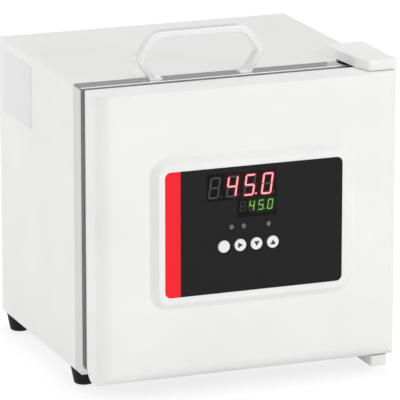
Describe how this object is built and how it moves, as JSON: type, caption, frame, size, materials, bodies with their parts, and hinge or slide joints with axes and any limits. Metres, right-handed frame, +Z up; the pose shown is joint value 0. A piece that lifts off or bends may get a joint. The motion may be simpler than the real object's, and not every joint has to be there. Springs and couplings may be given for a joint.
{
  "type": "laboratory incubator",
  "caption": "Small bench-top laboratory incubator with a hinged door, control panel, carrying handle and heated steel chamber.",
  "frame": {"origin": "on the bench under the middle of the cabinet", "axes": "+X to the viewer's right, +Y to the back, +Z up; the door faces -Y"},
  "size_m": [0.3011, 0.2981, 0.3376],
  "materials": {
    "white_paint": "satin",
    "white_plastic": "satin",
    "frame_plastic": "satin",
    "polished_steel": "polished",
    "liner_steel": "brushed",
    "galvanised": "dull",
    "pin_steel": "bright",
    "plate_silver": "satin",
    "gasket_grey": "matt",
    "foot_rubber": "matt",
    "foam": "rough",
    "silicone_red": "matt",
    "black_plastic": "satin",
    "board_green": "gloss",
    "panel_black": "satin",
    "window_dark": "gloss",
    "red_glow": "gloss",
    "green_glow": "gloss",
    "lens_clear": "gloss",
    "key_white": "satin",
    "bush_nylon": "satin"
  },
  "bodies": {
    "cabinet": {"base_pan": "galvanised", "breaker_frame": "frame_plastic", "chamber_liner": "liner_steel", "foot_1": "foot_rubber", "foot_2": "foot_rubber", "foot_3": "foot_rubber", "foot_4": "foot_rubber", "foot_screw_1": "pin_steel", "foot_screw_2": "pin_steel", "foot_screw_3": "pin_steel", "foot_screw_4": "pin_steel", "front_band": "polished_steel", "handle": "white_plastic", "handle_screw_1": "pin_steel", "handle_screw_2": "pin_steel", "heater_mat": "silicone_red", "insulation": "foam", "lower_hinge_bracket": "white_paint", "lower_hinge_pin": "pin_steel", "outer_shell": "white_paint", "power_board": "board_green", "power_inlet": "black_plastic", "rear_cover": "white_paint", "rear_screw_1": "pin_steel", "rear_screw_2": "pin_steel", "rear_screw_3": "pin_steel", "rear_screw_4": "pin_steel", "shelf": "liner_steel", "shelf_rail_left": "liner_steel", "shelf_rail_right": "liner_steel", "side_plate": "plate_silver", "switch_body": "black_plastic", "temperature_probe": "liner_steel", "upper_hinge_bracket": "galvanised", "upper_hinge_cover": "white_plastic", "upper_hinge_pin": "pin_steel"},
    "door": {"door_shell": "white_plastic", "door_liner": "frame_plastic", "door_foam": "foam", "door_gasket": "gasket_grey", "overlay_label": "panel_black", "display_window": "window_dark", "control_board": "board_green", "red_display": "red_glow", "green_display": "green_glow", "led_1": "lens_clear", "led_2": "lens_clear", "led_3": "lens_clear", "upper_bush": "bush_nylon", "lower_bush": "bush_nylon", "door_screw_1": "pin_steel", "door_screw_2": "pin_steel", "door_screw_3": "pin_steel"},
    "switch_rocker": {"switch_rocker": "black_plastic"},
    "key_1": {"key_1": "key_white"},
    "key_2": {"key_2": "key_white"},
    "key_3": {"key_3": "key_white"},
    "key_4": {"key_4": "key_white"}
  },
  "joints": [
    {"name": "door_hinge", "type": "hinge", "parent": "cabinet", "child": "door", "pos_m": [0.134, -0.1135, 0.1555], "axis": [0, 0, 1], "range_deg": [0, 100]},
    {"name": "key_1_press", "type": "slide", "parent": "door", "child": "key_1", "axis": [0, 1, 0], "range_m": [0, 0.0008], "stiffness_N_per_m": 300, "springref_m": -0.0006},
    {"name": "key_2_press", "type": "slide", "parent": "door", "child": "key_2", "axis": [0, 1, 0], "range_m": [0, 0.0008], "stiffness_N_per_m": 300, "springref_m": -0.0006},
    {"name": "key_3_press", "type": "slide", "parent": "door", "child": "key_3", "axis": [0, 1, 0], "range_m": [0, 0.0008], "stiffness_N_per_m": 300, "springref_m": -0.0006},
    {"name": "key_4_press", "type": "slide", "parent": "door", "child": "key_4", "axis": [0, 1, 0], "range_m": [0, 0.0008], "stiffness_N_per_m": 300, "springref_m": -0.0006},
    {"name": "switch_rock", "type": "hinge", "parent": "cabinet", "child": "switch_rocker", "pos_m": [0.062, 0.1448, 0.052], "axis": [1, 0, 0], "range_deg": [0, 16]}
  ]
}
